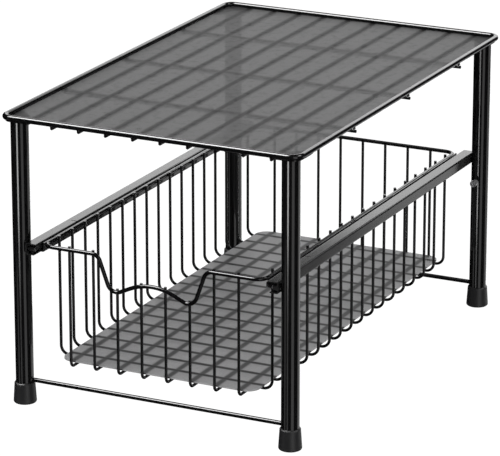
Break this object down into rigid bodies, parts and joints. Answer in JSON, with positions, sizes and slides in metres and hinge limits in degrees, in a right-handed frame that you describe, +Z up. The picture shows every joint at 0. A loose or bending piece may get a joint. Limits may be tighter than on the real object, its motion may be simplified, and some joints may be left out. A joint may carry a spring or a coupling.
{
  "type": "pull out cabinet basket",
  "caption": "Black wire basket that pulls out on roller slides under a small legged wire shelf, with smoked sheets on the shelf and the basket floor.",
  "frame": {"origin": "on the floor, under the middle of the four legs", "axes": "+Z up, +Y to the back, the basket pulls out towards -Y, +X to the right seen from the front"},
  "size_m": [0.2878, 0.4448, 0.2666],
  "materials": {
    "gloss_black_paint": "gloss black powder coat on steel rod and tube",
    "painted_rail": "gloss black powder coat on folded sheet steel",
    "smoked_shelf_sheet": "smoked translucent plastic sheet, satin top",
    "smoked_basket_sheet": "smoked translucent plastic sheet, satin top",
    "black_rubber": "matte moulded rubber",
    "roller_plastic": "moulded nylon",
    "bright_steel": "bright zinc-plated steel"
  },
  "bodies": {
    "stand": {"shelf_rim": "gloss_black_paint", "shelf_long_wires": "gloss_black_paint", "shelf_cross_wires": "gloss_black_paint", "shelf_sheet": "smoked_shelf_sheet", "front_left_plate": "gloss_black_paint", "front_right_plate": "gloss_black_paint", "rear_left_plate": "gloss_black_paint", "rear_right_plate": "gloss_black_paint", "front_left_leg": "gloss_black_paint", "front_right_leg": "gloss_black_paint", "rear_left_leg": "gloss_black_paint", "rear_right_leg": "gloss_black_paint", "front_left_foot": "black_rubber", "front_right_foot": "black_rubber", "rear_left_foot": "black_rubber", "rear_right_foot": "black_rubber", "front_floor_rod": "gloss_black_paint", "rear_floor_rod": "gloss_black_paint", "rear_leg_screws": "bright_steel", "left_rail": "painted_rail", "right_rail": "painted_rail", "left_front_pin": "bright_steel", "right_front_pin": "bright_steel"},
    "basket": {"basket_top_wire": "gloss_black_paint", "basket_cross_wires": "gloss_black_paint", "basket_long_wires": "gloss_black_paint", "basket_sheet": "smoked_basket_sheet", "left_runner": "painted_rail", "right_runner": "painted_rail", "left_rear_pin": "bright_steel", "right_rear_pin": "bright_steel"},
    "left_front_roller": {"left_front_roller": "roller_plastic"},
    "right_front_roller": {"right_front_roller": "roller_plastic"},
    "left_rear_roller": {"left_rear_roller": "roller_plastic"},
    "right_rear_roller": {"right_rear_roller": "roller_plastic"}
  },
  "joints": [
    {"name": "basket_slide", "type": "slide", "parent": "stand", "child": "basket", "axis": [0, -1, 0], "range_m": [0, 0.335]},
    {"name": "left_front_roller_spin", "type": "hinge", "parent": "stand", "child": "left_front_roller", "pos_m": [-0.1179, -0.2115, 0.14515], "axis": [1, 0, 0], "continuous": true},
    {"name": "right_front_roller_spin", "type": "hinge", "parent": "stand", "child": "right_front_roller", "pos_m": [0.1179, -0.2115, 0.14515], "axis": [1, 0, 0], "continuous": true},
    {"name": "left_rear_roller_spin", "type": "hinge", "parent": "basket", "child": "left_rear_roller", "pos_m": [-0.1164, 0.195, 0.1462], "axis": [1, 0, 0], "continuous": true},
    {"name": "right_rear_roller_spin", "type": "hinge", "parent": "basket", "child": "right_rear_roller", "pos_m": [0.1164, 0.195, 0.1462], "axis": [1, 0, 0], "continuous": true}
  ],
  "couplings": [
    {"joint": "left_front_roller_spin", "follows": "basket_slide", "rad_per_m": 384.62},
    {"joint": "right_front_roller_spin", "follows": "basket_slide", "rad_per_m": 384.62},
    {"joint": "left_rear_roller_spin", "follows": "basket_slide", "rad_per_m": 253.16},
    {"joint": "right_rear_roller_spin", "follows": "basket_slide", "rad_per_m": 253.16}
  ]
}
